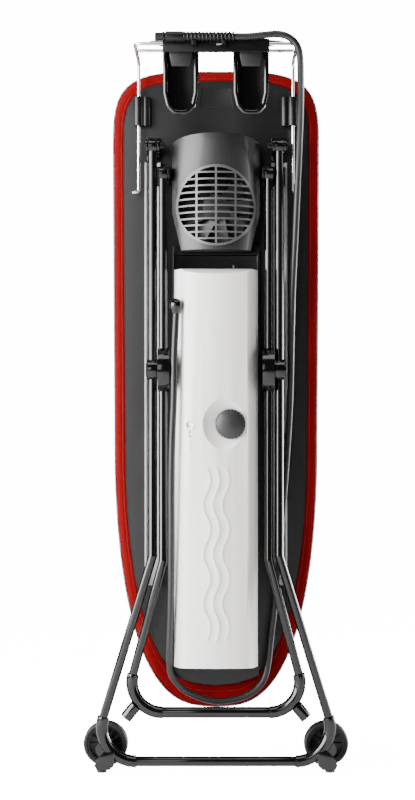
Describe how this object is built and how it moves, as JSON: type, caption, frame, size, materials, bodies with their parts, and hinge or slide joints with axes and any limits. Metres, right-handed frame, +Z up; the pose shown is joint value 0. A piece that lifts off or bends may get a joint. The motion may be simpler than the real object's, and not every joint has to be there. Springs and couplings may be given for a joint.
{
  "type": "ironing system with built-in steam generator",
  "caption": "Folded ironing board with a red cover, a white built-in steam generator, blower, scissor legs on wheels and a chrome rack for the iron.",
  "frame": {"origin": "centre of the bounding box on the floor", "axes": "+X across the board to the right, +Y from the legs to the ironing surface, +Z up"},
  "size_m": [0.489, 0.244, 1.315],
  "materials": {
    "cover_cloth": "woven cotton",
    "felt": "pressed felt",
    "deck_steel": "zinc-plated",
    "shell_plastic": "fine grain",
    "hood_plastic": "satin",
    "casing_plastic": "gloss",
    "black_plastic": "satin",
    "black_gloss": "gloss",
    "boiler_steel": "brushed",
    "tank_plastic": "milky",
    "valve_brass": "machined",
    "circuit_board": "lacquered",
    "cord_sheath": "satin",
    "chrome_wire": "polished",
    "rail_metal": "plain",
    "leg_paint": "gloss enamel",
    "tyre_rubber": "matt"
  },
  "bodies": {
    "board": {"cover": "cover_cloth", "felt_pad": "felt", "deck": "deck_steel", "board_base": "shell_plastic", "tray": "black_plastic", "casing": "casing_plastic", "fan_hood": "hood_plastic", "fan_grille": "black_plastic", "fan_motor": "deck_steel", "boiler": "boiler_steel", "water_tank": "tank_plastic", "water_pump": "black_plastic", "steam_valve": "valve_brass", "control_board": "circuit_board", "steam_pipe": "valve_brass", "mains_inlet": "black_plastic", "cord_gland": "black_gloss", "steam_cord": "cord_sheath", "sleeve_l": "black_plastic", "sleeve_r": "black_plastic", "rail_l": "rail_metal", "rail_r": "rail_metal", "bracket_l": "leg_paint", "bracket_r": "leg_paint", "hinge_pins": "boiler_steel"},
    "fan": {"fan_rotor": "shell_plastic"},
    "plug": {"drain_plug": "valve_brass"},
    "knob": {"drain_knob": "hood_plastic"},
    "rack": {"rack_rod_l": "chrome_wire", "rack_rod_r": "chrome_wire", "rack_arm_l": "chrome_wire", "rack_arm_r": "chrome_wire", "rack_cross": "chrome_wire", "rest_tray": "black_plastic", "dock_clips": "black_plastic", "hook_l": "black_gloss", "hook_r": "black_gloss", "cord_relief": "cord_sheath", "steam_connector": "black_plastic"},
    "sliders": {"slider_l": "black_plastic", "slider_r": "black_plastic"},
    "inner_leg": {"inner_tube_l": "leg_paint", "inner_tube_r": "leg_paint", "inner_bar": "leg_paint", "inner_corner_l": "black_gloss", "inner_corner_r": "black_gloss", "inner_discs": "black_gloss"},
    "outer_leg": {"outer_tube_l": "leg_paint", "outer_tube_r": "leg_paint", "outer_bar": "leg_paint", "outer_corner_l": "black_gloss", "outer_corner_r": "black_gloss", "outer_discs": "black_gloss", "pivot_caps": "black_gloss", "outer_feet": "tyre_rubber"},
    "wheel_left": {"wheel_hub_l": "shell_plastic", "tyre_l": "tyre_rubber"},
    "wheel_right": {"wheel_hub_r": "shell_plastic", "tyre_r": "tyre_rubber"}
  },
  "joints": [
    {"name": "outer_leg_hinge", "type": "hinge", "parent": "board", "child": "outer_leg", "pos_m": [0, 0.0195, 1.136], "axis": [-1, 0, 0], "range_deg": [0, 58]},
    {"name": "slider_slide", "type": "slide", "parent": "board", "child": "sliders", "axis": [0, 0, -1], "range_m": [0, 0.2585]},
    {"name": "inner_leg_hinge", "type": "hinge", "parent": "sliders", "child": "inner_leg", "pos_m": [0, 0.0195, 1.086], "axis": [-1, 0, 0], "range_deg": [0, 105.1]},
    {"name": "rack_slide", "type": "slide", "parent": "board", "child": "rack", "axis": [0, 0, 1], "range_m": [0, 0.115], "deforming": ["steam_cord"]},
    {"name": "fan_spin", "type": "hinge", "parent": "board", "child": "fan", "pos_m": [0, 0.0305, 1.024], "axis": [0, -1, 0], "continuous": true},
    {"name": "plug_slide", "type": "slide", "parent": "board", "child": "plug", "axis": [0, -1, 0], "range_m": [0, 0.01201]},
    {"name": "knob_turn", "type": "hinge", "parent": "plug", "child": "knob", "pos_m": [0.026, -0.0245, 0.632], "axis": [0, -1, 0], "range_deg": [0, 1080]},
    {"name": "wheel_left_spin", "type": "hinge", "parent": "outer_leg", "child": "wheel_left", "pos_m": [-0.2035, 0.0745, 0.041], "axis": [0, 1, 0], "continuous": true},
    {"name": "wheel_right_spin", "type": "hinge", "parent": "outer_leg", "child": "wheel_right", "pos_m": [0.2035, 0.0745, 0.041], "axis": [0, 1, 0], "continuous": true}
  ],
  "couplings": [
    {"joint": "slider_slide", "follows": "outer_leg_hinge", "m_per_rad": 0.2549},
    {"joint": "inner_leg_hinge", "follows": "outer_leg_hinge", "ratio": 1.81},
    {"joint": "plug_slide", "follows": "knob_turn", "m_per_rad": 0.00063662}
  ]
}
